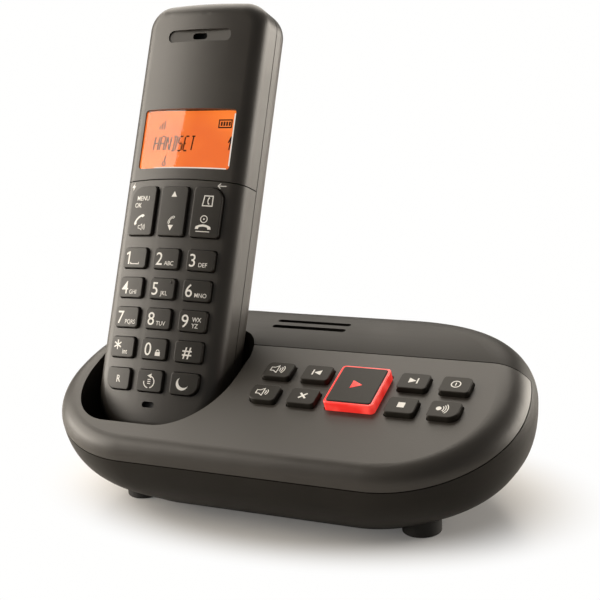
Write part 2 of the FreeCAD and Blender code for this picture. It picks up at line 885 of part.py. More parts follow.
def make_sockets():
    """The telephone line socket and the power socket, each a block with its own bore."""
    open_y = (socket_y[0] + mm.shell_wall, 2 * rear_wall)
    mouth = block("line_mouth", grow(line_socket_x, -mm.socket_wall), open_y, grow(socket_z, -mm.socket_wall))
    finish("line_socket", cut("line_socket", block("line_block", line_socket_x, socket_y, socket_z), mouth))
    bore = lying_rod("power_bore", mm.power_bore, mm.power_socket_across, open_y, middle(socket_z))
    pin = lying_rod("power_pin", mm.power_pin, mm.power_socket_across,
                    (socket_y[0], socket_y[1] - mm.shell_wall), middle(socket_z))
    power = cut("power_shell", block("power_block", power_socket_x, socket_y, socket_z), bore)
    finish("power_socket", join("power_socket", [power, pin]))


make_front_cover()
make_rear_housing()
make_bottom_plate()
make_feet()
make_loudspeaker()
make_sockets()


# ---------------------------------------------------------------- handset shell

def crown_at(name, rise):
    """A long cylinder over the crown, rise proud of the handset's face."""
    run = (-mm.front_roll, mm.handset_length + mm.front_roll)
    return lying_rod(name, mm.crown_radius + rise, 0, run, -mm.crown_radius)


def handset_form(name, inset):
    """The handset drawn in by inset: a crowned face, rounded rims and corners."""
    inset = as_size(inset)
    half = mm.handset_width / 2 - inset
    body = slab(name + "_body", (-half, half), (inset, mm.handset_length - inset),
                (inset - mm.handset_depth, 0),
                [mm.bottom_corner - inset, mm.top_corner - inset, mm.top_corner - inset,
                 mm.bottom_corner - inset])
    crowned = overlap(name + "_crowned", [body, crown_at(name + "_crown", -inset)])
    crowned.recompute(True)
    face = max(crowned.Shape.Faces, key=lambda item: item.CenterOfMass.z)
    back = min(crowned.Shape.Faces, key=lambda item: item.CenterOfMass.z)

    def rolls(edge):
        if any(edge.isSame(other) for other in face.Edges):
            return [float(mm.front_roll - inset)] * 2
        if any(edge.isSame(other) for other in back.Edges):
            return [float(mm.back_roll - inset)] * 2
        return None

    return fillet(name, crowned, rolls)


handset_outer = handset_form("handset_outer", 0)
handset_inner = handset_form("handset_inner", mm.handset_wall)
handset_skin = cut("handset_skin", handset_outer, handset_inner)
handset_span = (-mm.handset_width, mm.handset_width)
handset_run = (-mm.handset_length, 2 * mm.handset_length)


def handset_key_places():
    """Every handset key as its limits across and along and its four corner radii."""
    places = {}
    for row, names in enumerate((("key_star", "key_0", "key_hash"), ("key_7", "key_8", "key_9"),
                                 ("key_4", "key_5", "key_6"), ("key_1", "key_2", "key_3"))):
        for column, name in zip((-1, 0, 1), names):
            places[name] = (spread(column * mm.key_column, mm.key_width),
                            spread(mm.first_row + row * mm.key_row, mm.key_height), [mm.key_corner] * 4)
    soft = mm.key_corner
    round_low = mm.low_outer_corner
    for column, name, corners in ((-1, "recall_key", [soft, soft, soft, round_low]),
                                  (0, "redial_key", [soft] * 4),
                                  (1, "silent_key", [round_low, soft, soft, soft])):
        places[name] = (spread(column * mm.key_column, mm.key_width),
                        spread(mm.low_row, mm.low_key_height), corners)
    round_high = mm.tall_outer_corner
    for column, name, corners in ((-1, "menu_talk_key", [soft, soft, round_high, soft]),
                                  (0, "navigation_key", [soft] * 4),
                                  (1, "phonebook_end_key", [soft, round_high, soft, soft])):
        places[name] = (spread(column * mm.tall_key_spacing, mm.tall_key_width),
                        (mm.tall_key_bottom, mm.tall_key_top), corners)
    return places


handset_keys = handset_key_places()


def crown_rim(radius):
    """Picks the edges that lie on the crown cylinder of this radius."""
    def radii(edge):
        for share in (0.0, 0.5, 1.0):
            parameter = edge.FirstParameter + share * (edge.LastParameter - edge.FirstParameter)
            point = edge.valueAt(parameter)
            from_axis = math.hypot(point.x, point.z + float(mm.crown_radius))
            if abs(from_axis - float(radius)) > SAME_PLACE:
                return None
        return [float(mm.key_edge)] * 2
    return radii


def make_handset_keys():
    """All eighteen keys; returns their holes."""
    key_crown = crown_at("key_crown", mm.key_proud)
    bottom = -mm.flange_level - mm.flange_thick
    holes = []
    for name, (x, y, corners) in handset_keys.items():
        cap = slab(name + "_cap", x, y, (bottom, 2 * mm.key_proud), corners)
        crowned = overlap(name + "_crowned", [cap, key_crown])
        flange = slab(name + "_flange", grow(x, mm.flange_lip), grow(y, mm.flange_lip),
                      (bottom, -mm.flange_level), corners)
        whole = join(name + "_whole", [crowned, flange])
        finish(name, fillet(name, whole, crown_rim(mm.crown_radius + mm.key_proud)), HANDSET)
        holes.append(slab(name + "_hole", grow(x, mm.key_gap), grow(y, mm.key_gap),
                          (-mm.handset_mat_level, 2 * mm.key_proud), corners))
    return holes


def earpiece_cuts():
    """The long shallow slot over the earpiece and the hole in its middle."""
    y = spread(mm.earpiece_centre, mm.earpiece_height)
    slot = slab("ear_slot", spread(as_size(0), mm.earpiece_width), y,
                (-mm.earpiece_recess, mm.handset_wall), round_end(mm.earpiece_height))
    hole = slab("ear_hole", spread(as_size(0), mm.earpiece_hole_width),
                spread(mm.earpiece_centre, mm.earpiece_hole_height),
                (-mm.handset_mat_level, mm.handset_wall), round_end(mm.earpiece_hole_height))
    return join("ear_cuts", [slot, hole])


front_seam = -mm.side_seam + half_seam
rear_seam = -mm.side_seam - half_seam


def front_half(name):
    """The whole front of the skin, down to the seam along the handset's sides."""
    return overlap(name, [handset_skin, block(name + "_block", handset_span, handset_run,
                                              (front_seam, mm.handset_width))])


def arch(name, gap):
    """A wide disc whose rim is the arched seam between the two front covers."""
    radius = mm.cover_seam_radius - gap
    return rod(name, radius, 0, mm.cover_seam - mm.cover_seam_radius, (-mm.handset_width, mm.handset_width))


def post_places():
    """Each case screw's label and place."""
    for side, label in SIDES:
        yield "low_" + label, side * mm.low_post_across, mm.low_post_along
        yield "high_" + label, side * mm.high_post_across, mm.high_post_along


def posts(name, radius, z, level=""):
    """Rods at the case screws whose label begins with level."""
    return [rod(f"{name}_{tag}", radius, x, y, z) for tag, x, y in post_places() if tag.startswith(level)]


pilot_radius = mm.screw_radius + mm.pilot_gap


def make_front_covers():
    """The display cover above the arched seam and the keypad cover below it."""
    holes = make_handset_keys()
    window = slab("window_hole", spread(as_size(0), mm.display_width),
                  spread(mm.display_centre, mm.display_height),
                  (-mm.window_depth, mm.handset_wall), mm.display_corner)
    post_z = (front_seam, -mm.handset_wall / 2)
    upper_skin = cut("display_half", front_half("display_front"), arch("display_arch", -half_seam))
    top = join("display_whole", [upper_skin] + posts("display_post", mm.post_radius, post_z, "high"))
    lower_skin = overlap("keypad_half", [front_half("keypad_front"), arch("keypad_arch", half_seam)])
    bottom = join("keypad_whole", [lower_skin] + posts("keypad_post", mm.post_radius, post_z, "low"))
    top = overlap("display_trimmed", [top, handset_outer])
    bottom = overlap("keypad_trimmed", [bottom, handset_outer])
    pilot_z = (rear_seam, -mm.handset_wall - mm.screw_head_thick)
    top_pilots = posts("display_pilot", pilot_radius, pilot_z, "high")
    top_cuts = group("display_cuts", [window, earpiece_cuts()] + top_pilots)
    finish("handset_display_cover", cut("handset_display_cover", top, top_cuts), HANDSET)
    mic = slab("mic_slot", spread(as_size(0), mm.mic_width), spread(mm.mic_centre, mm.mic_height),
               (-mm.handset_mat_level, mm.handset_wall), round_end(mm.mic_height))
    bottom_pilots = posts("keypad_pilot", pilot_radius, pilot_z, "low")
    bottom_cuts = group("keypad_cuts", holes + [mic] + bottom_pilots)
    finish("handset_keypad_cover", cut("handset_keypad_cover", bottom, bottom_cuts), HANDSET)


# ---------------------------------------------------------------- battery bay and rear shell

cell_pitch = 2 * mm.cell_radius + mm.cell_gap
cell_depth = mm.handset_depth - mm.handset_wall - mm.cell_gap - mm.cell_radius
bay_half = cell_pitch / 2 + mm.cell_radius + mm.cell_gap
bay_run = grow(spread(mm.cell_centre, mm.cell_length + 2 * mm.cell_nub_length), mm.bay_end_room)
bay_floor = mm.cell_gap + mm.cell_radius - cell_depth


def charge_pads(name, gap):
    """Two blocks for the charging pads in the foot of the handset, grown by gap."""
    blocks = []
    for side, label in SIDES:
        x = grow(spread(side * mm.contact_spacing / 2, mm.contact_width), gap)
        z = grow(spread(-contact_level, mm.contact_length), gap)
        blocks.append(block(f"{name}_{label}", x, (-gap, mm.handset_wall + mm.contact_depth + gap), z))
    return blocks


def make_rear_shell():
    """The back of the handset with the battery bay, screw posts and the ringer's slots."""
    behind = -2 * mm.handset_depth
    back = -mm.handset_depth
    rear = overlap("rear_half", [handset_skin, block("rear_region", handset_span, handset_run,
                                                     (behind, rear_seam))])
    wall_x = grow((-bay_half, bay_half), mm.bay_wall)
    wall_y = grow(bay_run, mm.bay_wall)
    seat = back + mm.bay_seat
    bay = block("bay_block", wall_x, wall_y, (seat, bay_floor + mm.bay_wall))
    ledge = block("bay_ledge", grow(wall_x, mm.door_lip), grow(wall_y, mm.door_lip),
                  (seat, back + 2 * mm.handset_wall - mm.bay_seat))
    stand = posts("rear_post", mm.post_radius + mm.post_flange, (seat, rear_seam))
    whole = overlap("rear_trimmed", [join("rear_whole", [rear, bay, ledge] + stand), handset_outer])
    hollow = block("bay_hollow", (-bay_half, bay_half), bay_run, (behind, bay_floor))
    door_hole = block("door_hole", grow((-bay_half, bay_half), mm.door_lip + mm.door_gap),
                      grow(bay_run, mm.door_lip + mm.door_gap),
                      (behind, back + mm.handset_wall + mm.pilot_gap))
    shank = posts("rear_bore", pilot_radius, (behind, 0))
    sink = posts("rear_sink", mm.screw_head_radius + mm.mat_gap, (behind, back + mm.head_well))
    slots = []
    for step in (-1, 0, 1):
        slots.append(slab(f"ringer_slot_{step + 1}", spread(as_size(0), mm.ringer_slot_length),
                          spread(mm.ringer_centre + step * mm.ringer_slot_pitch, mm.ringer_slot_width),
                          (behind, back + 2 * mm.handset_wall), round_end(mm.ringer_slot_width)))
    pad_slots = charge_pads("pad_slot", mm.mat_gap / 2)
    cuts = join("rear_cuts", [hollow, door_hole] + shank + sink + slots + pad_slots)
    finish("handset_rear_shell", cut("handset_rear_shell", whole, cuts), HANDSET)
    door = overlap("battery_door", [handset_skin, block(
        "door_region", grow((-bay_half, bay_half), mm.door_lip), grow(bay_run, mm.door_lip),
        (-2 * mm.handset_depth, mm.handset_wall - mm.handset_depth))])
    finish("battery_door", door, HANDSET)


def make_battery():
    """Two cells side by side, head to tail, with a spring plate at each end."""
    low = mm.cell_centre - mm.cell_length / 2
    high = mm.cell_centre + mm.cell_length / 2
    nub = mm.cell_nub_length
    for side, label, nub_run in ((-1, "left", (high, high + nub)), (1, "right", (low - nub, low))):
        x = side * cell_pitch / 2
        can = lying_rod(f"can_{label}", mm.cell_radius, x, (low, high), -cell_depth)
        tip = lying_rod(f"tip_{label}", mm.cell_nub_radius, x, nub_run, -cell_depth)
        finish(f"battery_cell_{label}", join(f"battery_cell_{label}", [can, tip]), HANDSET)
    plates = []
    size = 2 * (mm.cell_radius - mm.cell_gap)
    z = spread(-cell_depth, size)
    near = (bay_run[0] + mm.spring_gap, bay_run[0] + mm.spring_gap + mm.spring_plate)
    far = (bay_run[1] - mm.spring_gap - mm.spring_plate, bay_run[1] - mm.spring_gap)
    for side, label, spring_run in ((-1, "left", (near[0], low - mm.spring_gap)),
                                    (1, "right", (high + mm.spring_gap, far[1]))):
        across = side * cell_pitch / 2
        plates.append(block("plate_low_" + label, spread(across, size), near, z))
        plates.append(block("plate_high_" + label, spread(across, size), far, z))
        plates.append(lying_rod("spring_" + label, mm.cell_nub_radius, across, spring_run, -cell_depth))
    finish("battery_springs", join("battery_springs", plates), HANDSET)


# ---------------------------------------------------------------- inside the handset

def make_display():
    """The clear window, the display panel and the lit diffuser behind it."""
    x = spread(as_size(0), mm.display_width)
    y = spread(mm.display_centre, mm.display_height)
    lens = slab("lens", grow(x, -mm.mat_gap), grow(y, -mm.mat_gap), (-mm.window_depth, mm.handset_wall),
                mm.display_corner)
    window = overlap("display_window", [lens, crown_at("lens_crown", -mm.window_inset)])
    finish("display_window", window, HANDSET)
    wide_x = grow(x, mm.display_overlap)
    wide_y = grow(y, mm.display_overlap)
    top = -mm.window_depth - mm.mat_gap
    bottom = top - mm.panel_thick
    panel = slab("display_glass", wide_x, wide_y, (bottom, top), mm.display_corner)
    finish("display_panel", panel, HANDSET)
    light_z = (mm.mat_gap - mm.handset_board_level, bottom - mm.mat_gap)
    finish("backlight_diffuser", slab("diffuser", wide_x, wide_y, light_z, mm.display_corner), HANDSET)


def make_handset_board():
    """The circuit board, and the silicone mat with a dome under each key."""
    board_half = mm.handset_width / 2 - mm.handset_wall - mm.board_edge
    from_post = mm.post_radius + mm.post_flange
    board = slab("handset_board", (-board_half, board_half),
                 (mm.low_post_along + from_post, mm.high_post_along - from_post),
                 (-mm.handset_board_level - mm.handset_board_thick, -mm.handset_board_level), mm.board_corner)
    finish("handset_circuit_board", board, HANDSET)
    mat_half = mm.key_column + mm.key_width / 2 + mm.flange_lip
    run = (mm.low_row - mm.low_key_height / 2, mm.tall_key_top)
    sheet_z = (mm.mat_gap - mm.handset_board_level, -mm.handset_mat_sheet)
    mat = slab("handset_mat_sheet_pad", (-mat_half, mat_half), run, sheet_z, mm.board_corner)
    domes = []
    for name, (x, y, corners) in handset_keys.items():
        domes.append(rod(name + "_dome", mm.dome_radius, middle(x), middle(y),
                         (sheet_z[0], -mm.handset_mat_level - mm.mat_gap)))
    finish("handset_keypad_mat", join("handset_keypad_mat", [mat] + domes), HANDSET)


def make_handset_sound():
    """Earpiece and microphone behind the front, ringer speaker at the back."""
    ear = slab("earpiece", spread(as_size(0), mm.earpiece_unit_width),
               spread(mm.earpiece_centre - mm.earpiece_unit_shift, mm.earpiece_unit_height),
               (mm.mat_gap - mm.handset_board_level, -mm.flange_level), mm.key_corner)
    finish("earpiece_speaker", ear, HANDSET)
    mic = rod("microphone_can", mm.mic_width / 2 + mm.mic_rim, 0, mm.mic_centre,
              (-mm.handset_mat_level - mm.mic_thick, -mm.handset_wall - mm.fit_gap))
    finish("handset_microphone", group("handset_microphone", [mic]), HANDSET)
    back = mm.handset_wall + mm.fit_gap - mm.handset_depth
    ringer = rod("ringer", mm.ringer_radius, 0, mm.ringer_centre, (back, back + mm.ringer_depth))
    magnet = rod("ringer_magnet", mm.ringer_radius / 2, 0, mm.ringer_centre,
                 (back, back + 1.5 * mm.ringer_depth))
    finish("ringer_speaker", join("ringer_speaker", [ringer, magnet]), HANDSET)


def make_handset_hardware():
    """Case screws and the charging pads in the foot of the handset."""
    seat = mm.head_well - mm.handset_depth - mm.pilot_gap
    tip = -mm.handset_wall - 2 * mm.screw_head_thick
    heads = posts("case_screw_head", mm.screw_head_radius, (seat - mm.screw_head_thick, seat))
    shanks = posts("case_screw_shank", mm.screw_radius, (seat - mm.pilot_gap, tip))
    finish("handset_screws", join("handset_screws", heads + shanks), HANDSET)
    finish("handset_charge_contacts", group("handset_charge_contacts", charge_pads("pad", 0)), HANDSET)


make_front_covers()
make_rear_shell()
make_battery()
make_display()
make_handset_board()
make_handset_sound()
make_handset_hardware()


# ---------------------------------------------------------------- export

document.recompute()
for item in document.Objects:
    if "Invalid" in item.State or "Error" in item.State:
        raise RuntimeError(f"{item.Label} could not be built: {item.State}")
os.makedirs("parts", exist_ok=True)
for node, item in nodes.items():
    shape = item.Shape
    if shape.isNull() or not shape.isValid() or shape.Volume <= 0:
        raise RuntimeError(f"{node} has no valid shape")
    shape.exportStep(f"parts/{node}.step")
print(len(nodes), "sub-parts written")
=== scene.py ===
import json
import math

import bpy
import numpy as np
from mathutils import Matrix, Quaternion, Vector
from mathutils.bvhtree import BVHTree


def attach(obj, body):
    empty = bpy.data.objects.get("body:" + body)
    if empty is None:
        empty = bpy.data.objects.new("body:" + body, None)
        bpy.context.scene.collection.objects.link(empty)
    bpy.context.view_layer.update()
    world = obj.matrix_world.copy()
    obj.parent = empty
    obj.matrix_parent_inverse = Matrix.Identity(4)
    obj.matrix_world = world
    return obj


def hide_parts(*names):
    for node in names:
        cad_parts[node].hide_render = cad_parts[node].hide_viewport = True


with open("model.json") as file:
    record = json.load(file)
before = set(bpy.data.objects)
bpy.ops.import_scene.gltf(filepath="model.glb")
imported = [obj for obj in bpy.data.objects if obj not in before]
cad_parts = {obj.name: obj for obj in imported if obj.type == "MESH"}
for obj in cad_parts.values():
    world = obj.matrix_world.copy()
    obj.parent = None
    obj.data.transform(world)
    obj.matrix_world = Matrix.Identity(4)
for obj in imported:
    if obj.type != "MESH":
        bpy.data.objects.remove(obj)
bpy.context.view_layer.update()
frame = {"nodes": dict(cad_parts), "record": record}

scene = bpy.context.scene


# ---------------------------------------------------------------- camera, floor and light
# The machine stands on a white table between three soft boxes: one at the left that brightens the
# left side of the handset, one above the back that lies on the deck, and one behind the right end.
# Two weak low ones at the left lift the shadows under the rim.

camera_data = bpy.data.cameras.new("view")
camera_data.sensor_width = 36.0
camera_data.lens = 77.04
camera_data.clip_end = 20.0
camera = bpy.data.objects.new("view", camera_data)
look = Vector((-0.439646, 0.864990, -0.241876))
roll = math.radians(-3.698)
camera.rotation_mode = "QUATERNION"
camera.rotation_quaternion = look.to_track_quat("-Z", "Y") @ Quaternion((0, 0, 1), roll)
camera.location = (0.19680, -0.38466, 0.17567)
scene.collection.objects.link(camera)
scene.camera = camera
scene.view_settings.view_transform = "Standard"


def new_material(name):
    """An empty material with its node tree and its Principled shader."""
    material = bpy.data.materials.new(name)
    material.use_nodes = True
    tree = material.node_tree
    tree.nodes.clear()
    output = tree.nodes.new("ShaderNodeOutputMaterial")
    shader = tree.nodes.new("ShaderNodeBsdfPrincipled")
    tree.links.new(shader.outputs["BSDF"], output.inputs["Surface"])
    return material, tree, shader


def make_table_material():
    """White table that takes the shadow near the machine and turns into plain white further out."""
    material, tree, shader = new_material("table")
    shader.inputs["Base Color"].default_value = (0.74, 0.720, 0.695, 1)
    shader.inputs["Roughness"].default_value = 0.30
    shader.inputs["Specular IOR Level"].default_value = 0.3
    place = tree.nodes.new("ShaderNodeTexCoord")
    oval = tree.nodes.new("ShaderNodeMapping")
    oval.inputs["Scale"].default_value = (0.62, 1.0, 1.0)
    tree.links.new(place.outputs["Object"], oval.inputs["Vector"])
    distance = tree.nodes.new("ShaderNodeVectorMath")
    distance.operation = "LENGTH"
    tree.links.new(oval.outputs["Vector"], distance.inputs[0])
    fade = tree.nodes.new("ShaderNodeMapRange")
    fade.interpolation_type = "SMOOTHSTEP"
    shadow_end, white_start = 0.044, 0.069
    fade.inputs["From Min"].default_value = shadow_end
    fade.inputs["From Max"].default_value = white_start
    fade.inputs["To Min"].default_value = 0.08
    tree.links.new(distance.outputs["Value"], fade.inputs["Value"])
    light_path = tree.nodes.new("ShaderNodeLightPath")
    seen = tree.nodes.new("ShaderNodeMath")
    seen.operation = "MULTIPLY"
    tree.links.new(fade.outputs["Result"], seen.inputs[0])
    tree.links.new(light_path.outputs["Is Camera Ray"], seen.inputs[1])
    glow = tree.nodes.new("ShaderNodeEmission")
    glow.inputs["Color"].default_value = (1.0, 0.998, 0.992, 1)
    mix = tree.nodes.new("ShaderNodeMixShader")
    tree.links.new(seen.outputs["Value"], mix.inputs["Fac"])
    tree.links.new(shader.outputs["BSDF"], mix.inputs[1])
    tree.links.new(glow.outputs["Emission"], mix.inputs[2])
    tree.links.new(mix.outputs["Shader"], tree.get_output_node("ALL").inputs["Surface"])
    return material


table_half = 6.0
table_mesh = bpy.data.meshes.new("table")
table_mesh.from_pydata([(-table_half, -table_half, 0), (table_half, -table_half, 0),
                        (table_half, table_half, 0), (-table_half, table_half, 0)], [], [(0, 1, 2, 3)])
table_mesh.materials.append(make_table_material())
table = bpy.data.objects.new("table", table_mesh)
scene.collection.objects.link(table)

# The room is white where the eye looks at it and gives only a faint light to everything else
world = bpy.data.worlds.new("studio")
world.use_nodes = True
scene.world = world
sky_tree = world.node_tree
background = sky_tree.nodes["Background"]
background.inputs["Color"].default_value = (1.0, 0.998, 0.992, 1)
sky = sky_tree.nodes.new("ShaderNodeMapRange")
sky.inputs["To Min"].default_value = 0.18
light_path = sky_tree.nodes.new("ShaderNodeLightPath")
either = sky_tree.nodes.new("ShaderNodeMath")
either.operation = "MAXIMUM"
sky_tree.links.new(light_path.outputs["Is Camera Ray"], either.inputs[0])
sky_tree.links.new(light_path.outputs["Is Transmission Ray"], either.inputs[1])
sky_tree.links.new(either.outputs["Value"], sky.inputs["Value"])
sky_tree.links.new(sky.outputs["Result"], background.inputs["Strength"])


def soft_box(name, place, width, height, radiance):
    """A rectangular light at place that faces the machine; its power follows from its area."""
    data = bpy.data.lights.new(name, "AREA")
    data.shape = "RECTANGLE"
    data.size = width
    data.size_y = height
    data.energy = radiance * math.pi * width * height
    data.color = (1.0, 0.925, 0.820)
    lamp = bpy.data.objects.new(name, data)
    lamp.location = place
    lamp.rotation_euler = (Vector((0, 0, 0.06)) - Vector(place)).to_track_quat("-Z", "Y").to_euler()
    scene.collection.objects.link(lamp)


soft_box("left_box", (-1.15, -0.36, 0.66), 1.2, 1.0, 6.0)
soft_box("rear_box", (-0.45, 0.80, 1.02), 1.5, 1.3, 3.1)
soft_box("right_box", (0.85, 0.88, 0.27), 1.25, 0.5, 8.0)
soft_box("low_side_fill", (-1.20, -0.30, 0.20), 0.9, 0.4, 4.0)
soft_box("low_front_fill", (-1.05, -0.80, 0.30), 0.9, 0.5, 1.9)


# ---------------------------------------------------------------- moulded covers of the base
# The deck and the hull are injection-moulded shells in warm charcoal plastic with a fine satin
# grain, clipped together along one thin parting line. The hull and its plate are a shade darker.

def make_grain_group():
    """Moulded grain: a fine height, and a faint cloudy tone for colour and gloss, from 3-D noise."""
    group = bpy.data.node_groups.new("moulded_grain", "ShaderNodeTree")
    group.interface.new_socket("Grain", in_out="INPUT", socket_type="NodeSocketFloat")
    for name in ("Tone", "Height"):
        group.interface.new_socket(name, in_out="OUTPUT", socket_type="NodeSocketFloat")
    given = group.nodes.new("NodeGroupInput")
    result = group.nodes.new("NodeGroupOutput")
    place = group.nodes.new("ShaderNodeTexCoord")
    fine = group.nodes.new("ShaderNodeTexNoise")
    fine.inputs["Detail"].default_value = 2.0
    cloud = group.nodes.new("ShaderNodeTexNoise")
    cloud.inputs["Scale"].default_value = 60.0
    cloud.inputs["Detail"].default_value = 5.0
    for noise in (fine, cloud):
        group.links.new(place.outputs["Object"], noise.inputs["Vector"])
    group.links.new(given.outputs["Grain"], fine.inputs["Scale"])
    group.links.new(fine.outputs["Fac"], result.inputs["Height"])
    group.links.new(cloud.outputs["Fac"], result.inputs["Tone"])
    return group


moulded_grain = make_grain_group()


def ramp(tree, source, low, high, start=0.3, end=0.7):
    """A colour or a grey value that goes from low to high as the source goes from start to end."""
    node = tree.nodes.new("ShaderNodeValToRGB")
    for element, position, colour in zip(node.color_ramp.elements, (start, end), (low, high)):
        element.position = position
        element.color = (*colour, 1) if isinstance(colour, tuple) else (colour, colour, colour, 1)
    tree.links.new(source, node.inputs["Fac"])
    return node.outputs["Color"]


def grained(name, dark, light, roughness, relief_height, grain=1500.0, shine=0.5):
    """A moulded finish: its colour drifts between dark and light, and its gloss a little with it."""
    material, tree, shader = new_material(name)
    shader.inputs["Specular IOR Level"].default_value = shine
    grain_node = tree.nodes.new("ShaderNodeGroup")
    grain_node.node_tree = moulded_grain
    grain_node.inputs["Grain"].default_value = grain
    tone = grain_node.outputs["Tone"]
    tree.links.new(ramp(tree, tone, dark, light), shader.inputs["Base Color"])
    gloss_drift = 1.06
    gloss = ramp(tree, tone, roughness / gloss_drift, roughness * gloss_drift)
    tree.links.new(gloss, shader.inputs["Roughness"])
    relief = tree.nodes.new("ShaderNodeBump")
    relief.inputs["Strength"].default_value = 0.5
    relief.inputs["Distance"].default_value = relief_height
    tree.links.new(grain_node.outputs["Height"], relief.inputs["Height"])
    tree.links.new(relief.outputs["Normal"], shader.inputs["Normal"])
    return material, tree, shader


charcoal_plastic = grained("charcoal_plastic", (0.025, 0.021, 0.017), (0.031, 0.027, 0.022),
                           0.40, 0.00003)[0]
hull_plastic = grained("hull_plastic", (0.012, 0.010, 0.008), (0.016, 0.014, 0.011),
                       0.45, 0.00003, shine=0.16)[0]
record = frame["record"]
body_of = {node: body for body, members in record["behaviour"]["bodies"].items() for node in members}


def dressed(node, material):
    """A copy of a node's solid, with the true normals of its curved faces, in the given material."""
    skin = frame["nodes"][node].data.copy()
    skin.materials.clear()
    skin.materials.append(material)
    skin.polygons.foreach_set("material_index", np.zeros(len(skin.polygons), np.int32))
    piece = bpy.data.objects.new(node + "_skin", skin)
    scene.collection.objects.link(piece)
    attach(piece, body_of[node])
    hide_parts(node)
    return piece


dressed("base_front_cover", charcoal_plastic)
dressed("base_rear_housing", hull_plastic)
dressed("base_bottom_plate", hull_plastic)


# ---------------------------------------------------------------- rubber feet and case screws
# Four round pads of soft black rubber are pressed into the bottom plate, and the case screws that
# hold the plate are plated steel, driven into posts inside the hull.

foot_rubber = grained("foot_rubber", (0.010, 0.010, 0.010), (0.017, 0.016, 0.015), 0.75, 0.00006, 900.0)[0]
dressed("rubber_feet", foot_rubber)


def brushed_metal(name, dark, light, roughness, stretch):
    """Plated metal with fine drawn lines: noise stretched along one axis tints it and dulls it."""
    material, tree, shader = new_material(name)
    place = tree.nodes.new("ShaderNodeTexCoord")
    lines = tree.nodes.new("ShaderNodeMapping")
    lines.inputs["Scale"].default_value = stretch
    noise = tree.nodes.new("ShaderNodeTexNoise")
    noise.inputs["Scale"].default_value = 900.0
    noise.inputs["Detail"].default_value = 3.0
    tree.links.new(place.outputs["Object"], lines.inputs["Vector"])
    tree.links.new(lines.outputs["Vector"], noise.inputs["Vector"])
    tree.links.new(ramp(tree, noise.outputs["Fac"], dark, light), shader.inputs["Base Color"])
    tree.links.new(ramp(tree, noise.outputs["Fac"], roughness * 0.8, roughness * 1.25),
                   shader.inputs["Roughness"])
    shader.inputs["Metallic"].default_value = 1.0
    return material


screw_steel = brushed_metal("screw_steel", (0.36, 0.36, 0.37), (0.50, 0.50, 0.51), 0.32, (1.0, 1.0, 0.2))
dressed("base_screws", screw_steel)
dressed("handset_screws", screw_steel)


# ---------------------------------------------------------------- keys of the base
# Eight small hard caps stand in two rows on the deck, four on each side of the play key. Each is
# moulded black-brown plastic with an icon pad-printed on it in off-white ink.

panel_key_plastic = grained("panel_key_plastic", (0.016, 0.014, 0.011), (0.021, 0.018, 0.014),
                            0.42, 0.00002, shine=0.22)[0]
ink = grained("printed_ink", (0.72, 0.70, 0.66), (0.80, 0.78, 0.74), 0.45, 0.00001)[0]
deck_face = (Vector((0, -0.05347, 0.023)), math.radians(21))


def from_face(points, face):
    """Points (right, up and out, in mm) on a tilted face, carried to the machine.

    x = x0 + right, y = y0 + up cos t - out sin t, z = z0 + up sin t + out cos t.
    """
    start, tilt = face
    right, up, out = np.asarray(points, float).T / 1000
    return np.column_stack((start.x + right, start.y + up * math.cos(tilt) - out * math.sin(tilt),
                            start.z + up * math.sin(tilt) + out * math.cos(tilt)))


def span_on_face(node, face):
    """Lowest and highest right, up and out (mm) of a node on a tilted face."""
    mesh = frame["nodes"][node].data
    points = np.empty(3 * len(mesh.vertices))
    mesh.vertices.foreach_get("co", points)
    start, tilt = face
    x, y, z = (points.reshape(-1, 3) - start).T * 1000
    up = y * math.cos(tilt) + z * math.sin(tilt)
    out = z * math.cos(tilt) - y * math.sin(tilt)
    turned = np.column_stack((x, up, out))
    return turned.min(axis=0), turned.max(axis=0)


def ribbon(points, width, closed=False):
    """A line of even width: each point moves half the width along the mitre of its two sides."""
    line = np.asarray(points, float)
    before = np.roll(line, 1, axis=0) if closed else np.vstack((2 * line[0] - line[1], line[:-1]))
    after = np.roll(line, -1, axis=0) if closed else np.vstack((line[1:], 2 * line[-1] - line[-2]))
    go_in, go_out = line - before, after - line
    go_in = go_in / np.linalg.norm(go_in, axis=1)[:, None]
    go_out = go_out / np.linalg.norm(go_out, axis=1)[:, None]
    way = go_in + go_out
    way = way / np.linalg.norm(way, axis=1)[:, None]
    sharpest = 0.4
    mitre = np.column_stack((-way[:, 1], way[:, 0]))
    mitre = mitre / np.maximum((way * go_in).sum(axis=1), sharpest)[:, None]
    left, right = line + mitre * width / 2, line - mitre * width / 2
    count = len(line)
    steps = range(count if closed else count - 1)
    faces = [(count + step, count + (step + 1) % count, (step + 1) % count, step) for step in steps]
    return np.vstack((left, right)), faces


def straight(start, end, width, steps=8):
    """A straight line in short runs, so that it can follow a curved surface."""
    return ribbon(np.linspace(start, end, steps), width)


def patch(points):
    """A flat outline, given anticlockwise."""
    return np.asarray(points, float), [tuple(range(len(points)))]


def arc(x, y, radius, start, end, steps=14):
    """Points on a circle, x + r cos a and y + r sin a, from one angle to another in degrees."""
    angles = np.radians(np.linspace(start, end, steps))
    return np.column_stack((x + radius * np.cos(angles), y + radius * np.sin(angles)))


def star(x, y, radius, width, arms, turn=0.0):
    """A cross or asterisk as one outline: square arm ends, and an inner corner between two arms."""
    points = []
    for arm in range(arms):
        angle = math.radians(turn + 360 * arm / arms)
        along = np.array((math.cos(angle), math.sin(angle)))
        side = np.array((-along[1], along[0])) * width / 2
        points += [along * radius - side, along * radius + side]
        between = angle + math.pi / arms
        corner = width / 2 / math.sin(math.pi / arms)
        points.append(corner * np.array((math.cos(between), math.sin(between))))
    return patch(np.array(points) + (x, y))


